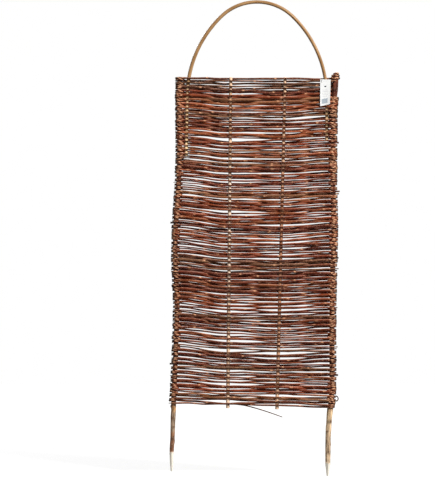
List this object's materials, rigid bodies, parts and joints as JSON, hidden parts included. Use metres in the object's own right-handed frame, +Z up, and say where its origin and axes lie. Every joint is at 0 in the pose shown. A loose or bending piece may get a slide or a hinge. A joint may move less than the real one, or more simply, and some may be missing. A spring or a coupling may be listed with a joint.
{
  "type": "woven willow hurdle",
  "caption": "Tall narrow fence panel of willow rods woven round upright poles, with pointed stakes to drive into the ground and a bent hoop on top.",
  "frame": {"origin": "middle of the hurdle's width and depth, at the level of the lower stake's point", "axes": "+Z up the stakes, +X to the right as seen from the front, +Y from the front to the back"},
  "size_m": [0.6275, 0.0404, 1.7599],
  "materials": {
    "willow_bark": "smooth bark, half gloss, reddish to dark brown",
    "stake_bark": "grey-brown bark, pale axe-cut points",
    "upright_wood": "brown bark, pale sawn ends",
    "hoop_wood": "light tan bark, satin",
    "tag_card": "matte white card",
    "staple_wire": "dull wire"
  },
  "bodies": {
    "root": {"hang_tag": "tag_card", "hoop": "hoop_wood", "inner_upright_left": "upright_wood", "inner_upright_right": "upright_wood", "left_stake": "stake_bark", "right_stake": "stake_bark", "stray_tip": "willow_bark", "tag_staple": "staple_wire", "weaver_01": "willow_bark", "weaver_02": "willow_bark", "weaver_03": "willow_bark", "weaver_04": "willow_bark", "weaver_05": "willow_bark", "weaver_06": "willow_bark", "weaver_07": "willow_bark", "weaver_08": "willow_bark", "weaver_09": "willow_bark", "weaver_10": "willow_bark", "weaver_11": "willow_bark", "weaver_12": "willow_bark", "weaver_13": "willow_bark", "weaver_14": "willow_bark", "weaver_15": "willow_bark", "weaver_16": "willow_bark", "weaver_17": "willow_bark", "weaver_18": "willow_bark", "weaver_19": "willow_bark", "weaver_20": "willow_bark", "weaver_21": "willow_bark", "weaver_22": "willow_bark", "weaver_23": "willow_bark", "weaver_24": "willow_bark", "weaver_25": "willow_bark", "weaver_26": "willow_bark", "weaver_27": "willow_bark", "weaver_28": "willow_bark", "weaver_29": "willow_bark", "weaver_30": "willow_bark", "weaver_31": "willow_bark", "weaver_32": "willow_bark", "weaver_33": "willow_bark", "weaver_34": "willow_bark", "weaver_35": "willow_bark", "weaver_36": "willow_bark", "weaver_37": "willow_bark", "weaver_38": "willow_bark", "weaver_39": "willow_bark", "weaver_40": "willow_bark", "weaver_41": "willow_bark", "weaver_42": "willow_bark", "weaver_43": "willow_bark", "weaver_44": "willow_bark", "weaver_45": "willow_bark", "weaver_46": "willow_bark", "weaver_47": "willow_bark", "weaver_48": "willow_bark", "weaver_49": "willow_bark", "weaver_50": "willow_bark", "weaver_51": "willow_bark"}
  },
  "joints": []
}
